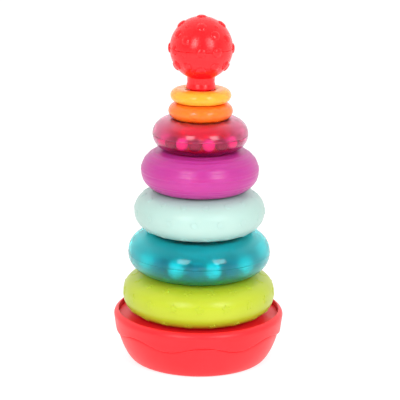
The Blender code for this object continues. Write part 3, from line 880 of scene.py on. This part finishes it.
profile = soft_corners([(spigot_bore, topper_low, 0.0004), (spigot_radius, topper_low, 0.0007),
                        (spigot_radius, foot_height, 0.0003), (flare_radius, foot_height, 0.0002),
                        (flare_radius, foot_height + 0.0008, 0.0003),
                        (neck_radius, foot_height + 0.0045, 0.0008)])
profile += [(neck_radius, ball_middle - neck_joins - 0.0012),
            (neck_radius + 0.0001, ball_middle - neck_joins - 0.0005)]
for k in range(25):
    angle = -pi / 2 + 0.47 + (pi / 2 - 0.47) * k / 24
    profile.append((ball_radius * cos(angle), ball_middle - 0.0002 + ball_radius * sin(angle)))
profile.append((ball_radius - 0.0007, ball_middle - 0.0001))
for k in range(17):
    angle = -1.26 * k / 16
    profile.append((inner_ball_radius * cos(angle), ball_middle - 0.0001 + inner_ball_radius * sin(angle)))
lower = turned_piece("topper_lower", profile, 128, closed=True)

profile = [(inner_ball_radius, ball_middle + 0.0001), (ball_radius - 0.0007, ball_middle + 0.0001)]
for k in range(33):
    angle = pi / 2 * k / 32
    profile.append((0 if k == 32 else ball_radius * cos(angle),
                    ball_middle + 0.0002 + ball_radius * sin(angle)))
for k in range(16):
    angle = pi / 2 * (1 - k / 16)
    profile.append((0 if k == 0 else inner_ball_radius * cos(angle),
                    ball_middle + 0.0001 + inner_ball_radius * sin(angle)))
upper = turned_piece("topper_upper", profile, 128, closed=True)

topper_coral = satin_plastic("topper_coral_plastic", (0.87, 0.008, 0.013, 1), (0.84, 0.006, 0.010, 1),
                             0.24, grain=0.6)
bump = raised_mark("bump", lambda turn: 0.0040, 0.0014, 0.0016, 40,
                   ((0.22, 0.985), (0.45, 0.91), (0.66, 0.75), (0.83, 0.50), (0.94, 0.28)))
small_bump = raised_mark("small_bump", lambda turn: 0.0020, 0.0004, 0.0010, 24)
for azimuth, latitude, copy in ((0, 50, bump), (30, 31, bump), (60, 21, bump), (0, 0, bump),
                                (30, 0, bump), (45, 49, small_bump), (0, 90, bump),
                                (0, -37, bump), (30, -29, bump), (60, -29, bump)):
    half = upper if latitude >= 0 else lower
    count = 1 if latitude == 90 else 4
    use_tree(half, copies_round_the_post, copy=copy, finish=topper_coral, count=count, step=pi / 2,
             first_azimuth=radians(azimuth), radius=ball_radius * cos(radians(latitude)),
             height=ball_middle + ball_radius * sin(radians(latitude)), tilt=radians(latitude), spin=0.0)
for half, node in ((lower, "topper_lower_half"), (upper, "topper_upper_half")):
    settle(half)
    put_on(half, topper_coral, "topper", "topper_coral", node)
drop(bump, small_bump)


# ------------------------------------------------------------------ table, lights and camera
# A plain white table top that gives off some light of its own, so that its shadows stay pale.
# Two softboxes stand in front, to the left and right, with a fill light between them that
# shows in no reflection. The white walls are brighter behind the toy than in front of it.

table_reach = 6
table_height = -0.0003
floor = bpy.data.meshes.new("table_top")
floor.from_pydata([(x * table_reach, y * table_reach, table_height)
                   for x, y in ((-1, -1), (1, -1), (1, 1), (-1, 1))], [], [(0, 1, 2, 3)])
table_top = bpy.data.objects.new("table_top", floor)
bpy.context.scene.collection.objects.link(table_top)
white = bpy.data.materials.new("white_table")
white.use_nodes = True
white_shader = white.node_tree.nodes["Principled BSDF"]
white_shader.inputs["Base Color"].default_value = (0.5, 0.5, 0.5, 1)
white_shader.inputs["Emission Color"].default_value = (1, 1, 1, 1)
white_shader.inputs["Emission Strength"].default_value = 0.65
white_shader.inputs["Roughness"].default_value = 0.7
white_shader.inputs["Specular IOR Level"].default_value = 0.0
floor.materials.append(white)

lamp_distance = 1.5
lamp_aim = Vector((0, 0, 0.15))
for azimuth, elevation, width, height, power, in_reflections in ((-26, 27, 0.48, 0.80, 9.0, True),
                                                                 (36, 27, 0.48, 0.80, 9.0, True),
                                                                 (0, 17, 0.30, 0.30, 8.0, False)):
    softbox = bpy.data.lights.new("softbox", 'AREA')
    softbox.shape = 'RECTANGLE'
    softbox.size = width
    softbox.size_y = height
    softbox.energy = power
    lamp = bpy.data.objects.new("softbox", softbox)
    bpy.context.scene.collection.objects.link(lamp)
    a, e = radians(azimuth), radians(elevation)
    away = Vector((sin(a) * cos(e), -cos(a) * cos(e), sin(e)))
    lamp.location = lamp_aim + away * lamp_distance
    lamp.visible_glossy = in_reflections
    lamp.rotation_euler = away.to_track_quat('Z', 'Y').to_euler()

world = bpy.data.worlds.new("white_walls")
world.use_nodes = True
walls = world.node_tree.nodes["Background"]
walls.inputs["Color"].default_value = (1, 1, 1, 1)
facing = world.node_tree.nodes.new('ShaderNodeTexCoord')
forward = world.node_tree.nodes.new('ShaderNodeSeparateXYZ')
brightness = world.node_tree.nodes.new('ShaderNodeMapRange')
brightness.inputs["From Min"].default_value = -0.9
brightness.inputs["From Max"].default_value = 0.4
brightness.inputs["To Min"].default_value = 0.22
brightness.inputs["To Max"].default_value = 1.15
world.node_tree.links.new(facing.outputs["Generated"], forward.inputs[0])
world.node_tree.links.new(forward.outputs[1], brightness.inputs["Value"])
world.node_tree.links.new(brightness.outputs["Result"], walls.inputs["Strength"])
bpy.context.scene.world = world

lens = bpy.data.cameras.new("camera")
lens.lens = 147.3
lens.sensor_width = 36
camera = bpy.data.objects.new("camera", lens)
bpy.context.scene.collection.objects.link(camera)
camera_place = (0.0003, -1.2932, 0.474)
camera_pitch = radians(14.78)
camera_roll = radians(0.65)
camera.matrix_world = (Matrix.Translation(camera_place) @ Matrix.Rotation(pi / 2 - camera_pitch, 4, 'X')
                       @ Matrix.Rotation(camera_roll, 4, 'Z'))
bpy.context.scene.camera = camera
bpy.context.scene.view_settings.view_transform = 'Standard'
bpy.context.scene.view_settings.look = 'None'

bpy.context.view_layer.update()
